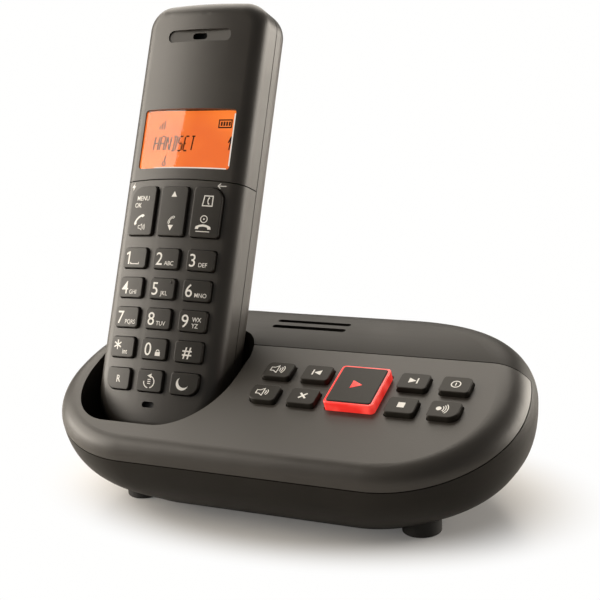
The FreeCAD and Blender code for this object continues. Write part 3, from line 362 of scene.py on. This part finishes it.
def lettering(text, height, left, base, squeeze=0.86, middle=False, weight=0.010):
    """Text as a flat mesh; its capitals are as tall as height and stand on base."""
    curve = bpy.data.curves.new("letters", "FONT")
    curve.body = text
    curve.resolution_u = 4
    curve.offset = weight
    holder = bpy.data.objects.new("letters", curve)
    scene.collection.objects.link(holder)
    made = bpy.data.meshes.new_from_object(holder.evaluated_get(bpy.context.evaluated_depsgraph_get()))
    points = np.empty(3 * len(made.vertices))
    made.vertices.foreach_get("co", points)
    capital_height = 0.729
    points = points.reshape(-1, 3)[:, :2] * (height / capital_height)
    points[:, 0] *= squeeze
    points[:, 0] -= (points[:, 0].min() + points[:, 0].max()) / 2 if middle else points[:, 0].min()
    faces = [tuple(polygon.vertices) for polygon in made.polygons]
    bpy.data.objects.remove(holder)
    bpy.data.curves.remove(curve)
    bpy.data.meshes.remove(made)
    return points + (left, base), faces


def printed(name, node, face, centre, shapes, material, lift=0.03):
    """Flat shapes laid on a node: each point drops along the face's inward way until it meets it.

    It starts 30 mm out from the face and stays lift (mm) above the surface that it meets.
    """
    mesh = frame["nodes"][node].data
    surface = BVHTree.FromPolygons([vertex.co for vertex in mesh.vertices],
                                   [polygon.vertices for polygon in mesh.polygons])
    inward = Vector((0, math.sin(face[1]), -math.cos(face[1])))
    points, faces = [], []
    for outline, loops in shapes:
        start_out = np.full(len(outline), 30.0)
        above = from_face(np.column_stack((outline + centre, start_out)), face)
        for loop in loops:
            area = sum(outline[i][0] * outline[j][1] - outline[j][0] * outline[i][1]
                       for i, j in zip(loop, loop[1:] + loop[:1]))
            turned = loop if area > 0 else loop[::-1]
            faces.append([index + len(points) for index in turned])
        for point in above:
            hit = surface.ray_cast(Vector(point), inward)[0]
            points.append((hit if hit is not None else Vector(point)) - inward * lift / 1000)
    flat = bpy.data.meshes.new(name)
    flat.from_pydata(points, [], faces)
    flat.materials.append(material)
    piece = bpy.data.objects.new(name, flat)
    scene.collection.objects.link(piece)
    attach(piece, body_of[node])
    return piece


def speaker_icon(waves):
    """A small loudspeaker with one to three arcs, 5 mm wide."""
    horn = [(-2.3, -0.7), (-1.3, -0.7), (-0.2, -1.5), (-0.2, 1.5), (-1.3, 0.7), (-2.3, 0.7)]
    return [ribbon(horn, 0.26, closed=True)] + [
        ribbon(arc(-0.4, 0, 1.0 + 0.62 * wave, -42, 42, 9), 0.26) for wave in range(waves)]


panel_icons = {
    "volume_up_key": speaker_icon(3),
    "volume_down_key": speaker_icon(2),
    "skip_back_key": [patch([(1.3, -1.05), (1.3, 1.05), (-0.8, 0)]),
                      patch([(-1.35, -1.1), (-0.95, -1.1), (-0.95, 1.1), (-1.35, 1.1)])],
    "delete_key": [star(0, 0, 1.45, 0.55, 4, 45)],
    "skip_forward_key": [patch([(-1.3, -1.05), (0.8, 0), (-1.3, 1.05)]),
                         patch([(0.95, -1.1), (1.35, -1.1), (1.35, 1.1), (0.95, 1.1)])],
    "stop_key": [patch([(-1.0, -1.0), (1.0, -1.0), (1.0, 1.0), (-1.0, 1.0)])],
    "power_key": [ribbon(arc(0, 0, 1.25, 0, 345, 24), 0.3, closed=True),
                  ribbon([(0, -0.6), (0, 0.6)], 0.3)],
    "handset_finder_key": [patch(arc(-1.5, 0, 0.75, 0, 340, 18))] + [
        ribbon(arc(-1.5, 0, 1.35 + 0.6 * wave, -42, 42, 9), 0.26) for wave in range(3)],
}
icon_scale = 1.22
for node, icon in panel_icons.items():
    dressed(node, panel_key_plastic)
    low, high = span_on_face(node, deck_face)
    scaled = [(outline * icon_scale, loops) for outline, loops in icon]
    printed(node + "_icon", node, deck_face, ((low + high) / 2)[:2], scaled, ink)


# ---------------------------------------------------------------- play key and its lit frame
# The large middle key is a black cap inside a frame of clear red acrylic. A lamp under it makes
# the frame and the printed arrow glow.

def make_lit_acrylic():
    """Red acrylic lit from inside: its glow drifts at random between a deeper and a pinker red."""
    material, tree, shader = grained("red_lens", (0.62, 0.020, 0.016), (0.72, 0.032, 0.026), 0.22, 0.00001)
    place = tree.nodes.new("ShaderNodeTexCoord")
    spread = tree.nodes.new("ShaderNodeTexNoise")
    spread.inputs["Scale"].default_value = 220.0
    spread.inputs["Detail"].default_value = 1.0
    tree.links.new(place.outputs["Object"], spread.inputs["Vector"])
    glow = ramp(tree, spread.outputs["Fac"], (0.66, 0.024, 0.018), (0.90, 0.085, 0.065), 0.35, 0.65)
    tree.links.new(glow, shader.inputs["Emission Color"])
    shader.inputs["Emission Strength"].default_value = 0.80
    shader.inputs["Coat Weight"].default_value = 0.3
    return material


red_lens = make_lit_acrylic()
dressed("play_light_frame", red_lens)
dressed("play_key", panel_key_plastic)
low, high = span_on_face("play_key", deck_face)
printed("play_arrow", "play_key", deck_face, ((low + high) / 2)[:2],
        [patch([(-1.9, -2.0), (1.9, 0), (-1.9, 2.0)])], red_lens)


# ---------------------------------------------------------------- inside the base
# Under the deck lie the silicone mat with its domes and the green circuit board. A loudspeaker
# faces the slots, springs of plated bronze charge the handset, and the sockets sit at the back.

silicone = grained("silicone", (0.15, 0.15, 0.16), (0.19, 0.19, 0.20), 0.65, 0.00002)[0]


def make_board_material():
    """Green solder mask over traces: a brick pattern of thin copper lanes and scattered round pads."""
    material, tree, shader = new_material("board_green")
    place = tree.nodes.new("ShaderNodeTexCoord")
    lanes = tree.nodes.new("ShaderNodeTexBrick")
    lanes.inputs["Color1"].default_value = (0.006, 0.085, 0.030, 1)
    lanes.inputs["Color2"].default_value = (0.008, 0.100, 0.038, 1)
    lanes.inputs["Mortar"].default_value = (0.030, 0.200, 0.060, 1)
    lanes.inputs["Scale"].default_value = 160.0
    lanes.inputs["Mortar Size"].default_value = 0.06
    pads = tree.nodes.new("ShaderNodeTexVoronoi")
    pads.inputs["Scale"].default_value = 320.0
    tree.links.new(place.outputs["Object"], lanes.inputs["Vector"])
    tree.links.new(place.outputs["Object"], pads.inputs["Vector"])
    mask = ramp(tree, pads.outputs["Distance"], 1.0, 0.0, 0.16, 0.18)
    mix = tree.nodes.new("ShaderNodeMix")
    mix.data_type = "RGBA"
    mix.inputs["B"].default_value = (0.62, 0.60, 0.55, 1)
    tree.links.new(mask, mix.inputs["Factor"])
    tree.links.new(lanes.outputs["Color"], mix.inputs["A"])
    tree.links.new(mix.outputs["Result"], shader.inputs["Base Color"])
    tree.links.new(mask, shader.inputs["Metallic"])
    shader.inputs["Roughness"].default_value = 0.35
    return material


board_green = make_board_material()
contact_metal = brushed_metal("contact_metal", (0.62, 0.50, 0.28), (0.78, 0.66, 0.42), 0.25, (0.2, 1.0, 1.0))
speaker_metal = grained("speaker_metal", (0.018, 0.018, 0.019), (0.030, 0.030, 0.031), 0.6, 0.00008, 700.0)[0]
socket_black = grained("socket_black", (0.007, 0.007, 0.007), (0.011, 0.011, 0.011), 0.38, 0.00001)[0]
for node, material in (("base_keypad_mat", silicone), ("base_circuit_board", board_green),
                       ("loudspeaker", speaker_metal), ("charging_contacts", contact_metal),
                       ("power_socket", socket_black), ("line_socket", socket_black)):
    dressed(node, material)


# ---------------------------------------------------------------- covers of the handset
# Two front covers meet at an arched line under the display, and the rear shell closes the case.
# All are the same satin charcoal plastic; the battery door at the back slides off.

def raised(name, node, face, centre, half, height, out, material, steps=24, rings=8):
    """A low bump: right = a r cos t, up = b r sin t, out = z0 + h sqrt(1 - r^2), for r from 0 to 1.

    A height below zero points into the machine from the face, which is outwards on its back.
    """
    turn, reach = np.meshgrid(np.arange(steps) * 2 * math.pi / steps, np.linspace(0, 1, rings + 1)[1:])
    rise = out + height * np.sqrt(1 - reach ** 2)
    grid = np.column_stack(((centre[0] + half[0] * reach * np.cos(turn)).ravel(),
                            (centre[1] + half[1] * reach * np.sin(turn)).ravel(), rise.ravel()))
    points = from_face(np.vstack((grid, [(*centre, out + height)])), face)
    faces = [(ring * steps + step, ring * steps + (step + 1) % steps,
              (ring - 1) * steps + (step + 1) % steps, (ring - 1) * steps + step)
             for ring in range(1, rings) for step in range(steps)]
    faces += [(step, (step + 1) % steps, rings * steps) for step in range(steps)]
    if height < 0:
        faces = [loop[::-1] for loop in faces]
    mesh = bpy.data.meshes.new(name)
    mesh.from_pydata(points.tolist(), [], faces)
    mesh.materials.append(material)
    mesh.shade_smooth()
    piece = bpy.data.objects.new(name, mesh)
    scene.collection.objects.link(piece)
    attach(piece, body_of[node])
    return piece


for node in ("handset_display_cover", "handset_keypad_cover", "handset_rear_shell", "battery_door"):
    dressed(node, charcoal_plastic)
handset_face = (Vector((-0.04688, -0.03289, 0.02368)), math.radians(66))
printed("back_arrow", "handset_keypad_cover", handset_face, (17.4, 91.4),
        [ribbon([(-1.2, 0), (1.6, 0)], 0.3), ribbon([(-0.5, -0.95), (-1.5, 0), (-0.5, 0.95)], 0.3)], ink)
low, high = span_on_face("battery_door", handset_face)
first_grip, grip_pitch = high[1] - 5.0, 1.7
for step in range(5):
    raised(f"door_grip_{step}", "battery_door", handset_face, (0.0, first_grip - grip_pitch * step),
           (7.5, 0.45), -0.35, low[2] + 0.02, charcoal_plastic)
printed("charge_mark", "handset_keypad_cover", handset_face, (-19.8, 90.7),
        [patch([(-0.3, -1.8), (0.95, 0.4), (0.15, 0.4), (0.6, 1.8), (-0.85, -0.3), (0.0, -0.3)])], ink)


# ---------------------------------------------------------------- keys of the handset
# Eighteen caps stand on one silicone mat: three tall ones, twelve for the digits and three low
# ones. Each is moulded key plastic with its legend printed in off-white.

key_plastic = grained("key_plastic", (0.018, 0.016, 0.013), (0.024, 0.021, 0.017),
                      0.42, 0.00002, shine=0.36)[0]


def receiver(x, y, size, turn, line=0.0):
    """A telephone receiver: an arched grip between two ear pieces; line > 0 draws its outline only."""
    outer = arc(0, -4.2, 4.8, 58, 122, 14)
    inner = arc(0, -4.2, 4.1, 111, 69, 10)
    points = np.vstack(([(2.75, -0.95)], outer, [(-2.75, -0.95), (-1.6, -0.95)], inner,
                        [(1.6, -0.95)])) * size
    angle = math.radians(turn)
    turned = points @ np.array(((math.cos(angle), math.sin(angle)), (-math.sin(angle), math.cos(angle))))
    turned = turned + (x, y)
    return ribbon(turned, line, closed=True) if line else patch(turned)


digits = {"key_2": ("2", "ABC"), "key_3": ("3", "DEF"), "key_4": ("4", "GHI"),
          "key_5": ("5", "JKL"), "key_6": ("6", "MNO"), "key_7": ("7", "PQRS"), "key_8": ("8", "TUV")}
key_legends = {}
for node, (digit, letters) in digits.items():
    key_legends[node] = [lettering(digit, 4.8, -4.0, -2.4, 0.93, weight=0.002),
                         lettering(letters, 1.6, -0.4, -2.4, 0.90, weight=0.002)]
key_legends["key_1"] = [patch([(-2.95, -2.4), (-2.3, -2.4), (-2.3, 2.3), (-2.85, 2.3), (-4.0, 1.6),
                               (-4.0, 0.9), (-2.95, 1.5)]),
                        ribbon([(-1.6, -1.6), (-1.6, -2.25), (2.0, -2.25), (2.0, -1.6)], 0.3)]
key_legends["key_9"] = [lettering("9", 4.8, -4.0, -2.4, 0.93, weight=0.002),
                        lettering("WX", 1.6, 0.0, -0.2), lettering("YZ", 1.6, 0.0, -2.4)]
key_legends["key_star"] = [star(-2.2, 0.7, 1.75, 0.5, 6, 90), lettering("int", 1.8, 0.3, -2.4)]
key_legends["key_0"] = [lettering("0", 4.8, -3.6, -2.4, 0.93, weight=0.002),
                        patch([(0.9, -2.4), (2.9, -2.4), (2.9, -1.0), (0.9, -1.0)]),
                        ribbon(arc(1.9, -0.9, 0.62, 0, 180, 11), 0.3)]
key_legends["key_hash"] = [lettering("#", 4.2, -0.3, -2.1, 1.0, middle=True)]
key_legends["recall_key"] = [lettering("R", 2.6, 0.3, -1.3, middle=True)]
key_legends["redial_key"] = [ribbon(arc(0, -0.4, 2.1, -75, 75, 14), 0.36),
                             ribbon(arc(0, -0.4, 2.1, 175, 262, 10), 0.36),
                             patch([(-0.9, 1.75), (0.75, 0.95), (0.75, 2.6)])] + [
    ribbon([(-0.6, level), (0.6, level)], 0.3) for level in (0.45, -0.25, -0.95)]
crescent = np.vstack((arc(-0.6, 0, 2.3, 120, 345, 26), arc(-0.01, 0.77, 2.12, 319, 146, 22)))
key_legends["silent_key"] = [patch(crescent)]
small_speaker = [(points * 0.72 + (0.9, -6.0), faces) for points, faces in speaker_icon(3)]
key_legends["menu_talk_key"] = [lettering("MENU", 1.75, -0.1, 3.8, middle=True),
                                lettering("OK", 1.75, -2.0, 1.2, middle=True),
                                receiver(-1.1, -2.9, 1.0, 42)] + small_speaker
key_legends["navigation_key"] = [patch([(-1.15, 5.2), (1.15, 5.2), (0, 7.2)]),
                                 receiver(-0.2, -3.0, 0.62, 48, 0.22),
                                 patch([(-1.15, -5.1), (0, -7.1), (1.15, -5.1)])]
book = [(-1.7, 2.3), (-1.2, 5.6), (-1.2, 5.9), (2.0, 5.9), (2.0, 2.3)]
key_legends["phonebook_end_key"] = [ribbon(book, 0.36, closed=True), receiver(0.35, 4.1, 0.5, 90),
                                    ribbon(arc(-0.4, -2.5, 1.25, 0, 345, 24), 0.3, closed=True),
                                    patch(arc(-0.4, -2.5, 0.32, 0, 330, 12)),
                                    receiver(-0.4, -5.1, 1.1, 0), straight((-3.0, -7.0), (2.2, -7.0), 0.28)]
for node, legend in key_legends.items():
    dressed(node, key_plastic)
    low, high = span_on_face(node, handset_face)
    printed(node + "_legend", node, handset_face, ((low + high) / 2)[:2], legend, ink)


# The key tops lie on a crown of radius 101.3 mm about an axis 100 mm behind the face
crown_depth, key_top_radius = 100.0, 101.3
low, high = span_on_face("key_5", handset_face)
pip_across, pip_along = ((low + high) / 2)[:2] + (3.5, 2.3)
pip_out = math.sqrt(key_top_radius ** 2 - pip_across ** 2) - crown_depth
raised("key_5_pip", "key_5", handset_face, (pip_across, pip_along), (0.45, 0.45), 0.30,
       pip_out - 0.02, key_plastic)


# ---------------------------------------------------------------- display of the handset
# A clear window with polished edges covers a liquid-crystal panel lit from behind in orange; the
# panel shows a row of segment letters, a signal mark, a battery and a small key mark.
# The glow on the window's edges is painted light: a near-white painted highlight on the right and lower ones,
# the panel's orange on the left ones.

def make_window_material():
    """Clear acrylic: light passes straight on, and what is in front mirrors weakly in its face."""
    material, tree, shader = new_material("window_clear")
    tree.nodes.remove(shader)
    place = tree.nodes.new("ShaderNodeTexCoord")
    noise = tree.nodes.new("ShaderNodeTexNoise")
    noise.inputs["Scale"].default_value = 90.0
    tree.links.new(place.outputs["Object"], noise.inputs["Vector"])
    clear = tree.nodes.new("ShaderNodeBsdfTransparent")
    clear.inputs["Color"].default_value = (0.985, 0.985, 0.985, 1)
    mirror = tree.nodes.new("ShaderNodeBsdfGlossy")
    tree.links.new(ramp(tree, noise.outputs["Fac"], 0.04, 0.07), mirror.inputs["Roughness"])
    fresnel = tree.nodes.new("ShaderNodeFresnel")
    fresnel.inputs["IOR"].default_value = 1.49
    facing = tree.nodes.new("ShaderNodeNewGeometry")
    front = tree.nodes.new("ShaderNodeMath")
    front.operation = "SUBTRACT"
    front.inputs[0].default_value = 1.0
    tree.links.new(facing.outputs["Backfacing"], front.inputs[1])
    share = tree.nodes.new("ShaderNodeMath")
    share.operation = "MULTIPLY"
    tree.links.new(fresnel.outputs["Fac"], share.inputs[0])
    tree.links.new(front.outputs["Value"], share.inputs[1])
    mix = tree.nodes.new("ShaderNodeMixShader")
    tree.links.new(share.outputs["Value"], mix.inputs["Fac"])
    tree.links.new(clear.outputs["BSDF"], mix.inputs[1])
    tree.links.new(mirror.outputs["BSDF"], mix.inputs[2])
    tree.links.new(mix.outputs["Shader"], tree.get_output_node("ALL").inputs["Surface"])
    return material


window = dressed("display_window", make_window_material())


def glow_and_painted_highlight(name, dark, light, strength, scale, body=0.0):
    """A glowing sheet whose brightness varies softly, as backlight spreads unevenly; also a painted edge
    highlight.
    """
    material, tree, shader = new_material(name)
    place = tree.nodes.new("ShaderNodeTexCoord")
    noise = tree.nodes.new("ShaderNodeTexNoise")
    noise.inputs["Scale"].default_value = scale
    tree.links.new(place.outputs["Object"], noise.inputs["Vector"])
    colour = ramp(tree, noise.outputs["Fac"], dark, light, 0.35, 0.65)
    tree.links.new(colour, shader.inputs["Emission Color"])
    shader.inputs["Base Color"].default_value = (body, body, body, 1)
    shader.inputs["Specular IOR Level"].default_value = 0.1
    shader.inputs["Emission Strength"].default_value = strength
    shader.inputs["Roughness"].default_value = 0.5
    return material


display_orange = glow_and_painted_highlight("display_orange", (0.76, 0.135, 0.020), (0.90, 0.205, 0.030), 1.2, 45.0)
# A near-white glow, a painted highlight for the window's edges
painted_edge_highlight = glow_and_painted_highlight("painted_edge_highlight", (0.95, 0.86, 0.74), (1.0, 0.93, 0.84), 0.8, 200.0)
window.data.materials.append(painted_edge_highlight)
window.data.materials.append(display_orange)
up_the_face = Vector((0, math.cos(handset_face[1]), math.sin(handset_face[1])))
edge_on = 0.6
# Right and lower side faces of the window get the painted highlight; its left side faces glow in the panel's
# orange, painted light
for polygon in window.data.polygons:
    if polygon.normal.x < -edge_on:
        polygon.material_index = 2
    elif polygon.normal.x > edge_on or polygon.normal.dot(up_the_face) < -edge_on:
        polygon.material_index = 1
dressed("display_panel", display_orange)
diffuser_white = glow_and_painted_highlight("diffuser_white", (0.86, 0.80, 0.70), (0.93, 0.88, 0.80), 0.15, 120.0, 0.8)
dressed("backlight_diffuser", diffuser_white)
segment_ink = grained("segment_ink", (0.020, 0.008, 0.004), (0.034, 0.014, 0.007), 0.5, 0.00001, shine=0.0)[0]


def segments(text, left, base, width, height, step):
    """Letters of a sixteen-segment display: each is a set of strokes on a slanted 3 x 3 grid.

    The grid's points are a to i in reading order; a stroke ends short of both its points.
    """
    slant, short, thick = 0.10, 0.22, 0.56
    strokes = {"H": ["ag", "ci", "df"], "A": ["ag", "ac", "ci", "df"], "N": ["ag", "ae", "ei", "ci"],
               "D": ["ac", "bh", "ci", "gi"], "S": ["ac", "ad", "df", "fi", "gi"],
               "E": ["ac", "ag", "de", "gi"], "T": ["ac", "bh"], "1": ["ci", "ce"]}
    shapes = []
    for place, letter in enumerate(text):
        for ends in strokes.get(letter, []):
            line = []
            for point in ends:
                column, row = "abcdefghi".index(point) % 3, "abcdefghi".index(point) // 3
                up = base + (2 - row) * height / 2
                line.append((left + place * step + column * width / 2 + slant * (up - base), up))
            start, end = np.array(line)
            shrink = (end - start) / np.linalg.norm(end - start) * short
            shapes.append(straight(start + shrink, end - shrink, thick, 3))
    return shapes


battery_mark = [ribbon([(10.6, 5.4), (15.8, 5.4), (15.8, 8.2), (10.6, 8.2)], 0.5, closed=True)] + [
    patch([(11.3 + 1.1 * bar, 6.0), (12.05 + 1.1 * bar, 6.0), (12.05 + 1.1 * bar, 7.6),
           (11.3 + 1.1 * bar, 7.6)]) for bar in range(4)]
signal_mark = [patch([(-14.6 + bar, 4.8), (-14.1 + bar, 4.8), (-14.0 + bar, 6.4 + 0.9 * bar),
                      (-14.5 + bar, 6.4 + 0.9 * bar)]) for bar in range(3)]
key_mark = [ribbon(arc(-10.6, -8.1, 0.7, 0, 330, 12), 0.45, closed=True),
            patch([(-10.7, -7.4), (-10.2, -7.4), (-10.0, -5.2), (-10.5, -5.2)])]
display_centre = (0, 108.6)
printed("display_segments", "display_panel", handset_face, display_centre,
        segments("HANDSET", -16.0, -3.2, 1.75, 5.4, 2.55) + segments("1", 14.2, -3.2, 1.75, 5.4, 2.55)
        + battery_mark + signal_mark + key_mark, segment_ink)
# Two thin glowing strips along the window's right and lower edges are a painted highlight
printed("window_strips_painted_highlight", "display_window", handset_face, display_centre,
        [straight((18.5, -9.7), (18.5, 9.7), 0.5),
         straight((-12.0, -10.75), (17.6, -10.75), 0.4, 24)], painted_edge_highlight)


# ---------------------------------------------------------------- inside the handset
# Behind the covers are the board, the mat, the earpiece, the microphone and the ringer, and two
# cells in the bay under the door with a spring plate at each end.

def make_cell_material():
    """A rechargeable cell: a printed sleeve with bands across it, between bare steel ends."""
    material, tree, shader = new_material("cell_can")
    place = tree.nodes.new("ShaderNodeTexCoord")
    bands = tree.nodes.new("ShaderNodeTexWave")
    bands.bands_direction = "Z"
    bands.inputs["Scale"].default_value = 34.0
    bands.inputs["Distortion"].default_value = 0.4
    tree.links.new(place.outputs["Object"], bands.inputs["Vector"])
    colour = ramp(tree, bands.outputs["Fac"], (0.020, 0.090, 0.050), (0.55, 0.56, 0.57), 0.80, 0.86)
    tree.links.new(colour, shader.inputs["Base Color"])
    tree.links.new(ramp(tree, bands.outputs["Fac"], 0.0, 1.0, 0.80, 0.86), shader.inputs["Metallic"])
    shader.inputs["Roughness"].default_value = 0.34
    return material


cell_can = make_cell_material()
for node, material in (("handset_circuit_board", board_green), ("handset_keypad_mat", silicone),
                       ("earpiece_speaker", speaker_metal), ("handset_microphone", speaker_metal),
                       ("ringer_speaker", speaker_metal), ("battery_cell_left", cell_can),
                       ("battery_cell_right", cell_can), ("battery_springs", screw_steel),
                       ("handset_charge_contacts", contact_metal)):
    dressed(node, material)
